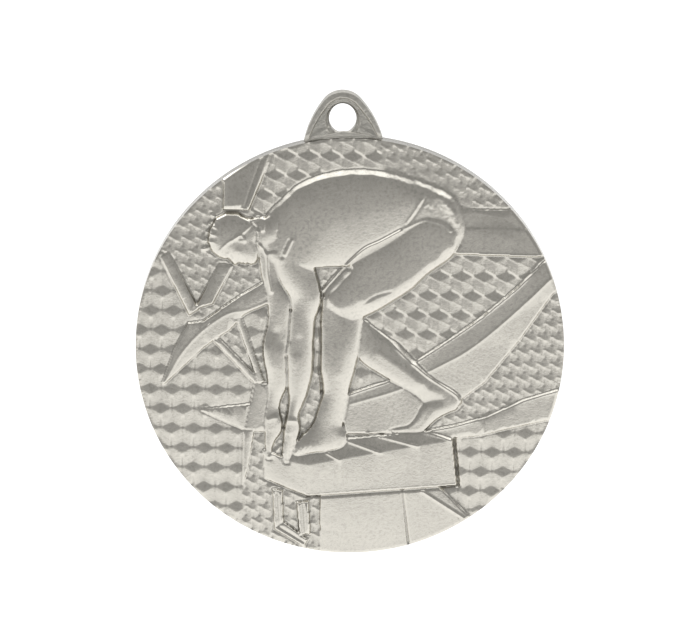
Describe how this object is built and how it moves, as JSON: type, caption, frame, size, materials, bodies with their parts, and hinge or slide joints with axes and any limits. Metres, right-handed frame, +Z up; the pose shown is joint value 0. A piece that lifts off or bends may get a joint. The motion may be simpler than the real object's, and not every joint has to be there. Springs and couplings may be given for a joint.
{
  "type": "sports medal",
  "caption": "Round silver-coloured medal with a relief of a swimmer on a starting block, a pierced hanging lug and an engraving plate in its back.",
  "frame": {"origin": "middle of the hole in the hanging lug, halfway through the rim's thickness", "axes": "+Z up through the lug, -Y out of the obverse with the relief, +Y out of the flat back, +X to the right seen from the front"},
  "size_m": [0.05, 0.0032, 0.0555],
  "materials": {
    "struck_silver": "silver plating over a struck relief, satin, with polished high spots",
    "lug_silver": "silver plating over a rough cast surface",
    "brushed_plate": "brushed in one direction, clear anodised",
    "adhesive": "dull double-sided adhesive film"
  },
  "bodies": {
    "root": {"medal_disc": "struck_silver", "hanging_lug": "lug_silver", "reverse_plate": "brushed_plate", "adhesive_disc": "adhesive"}
  },
  "joints": []
}
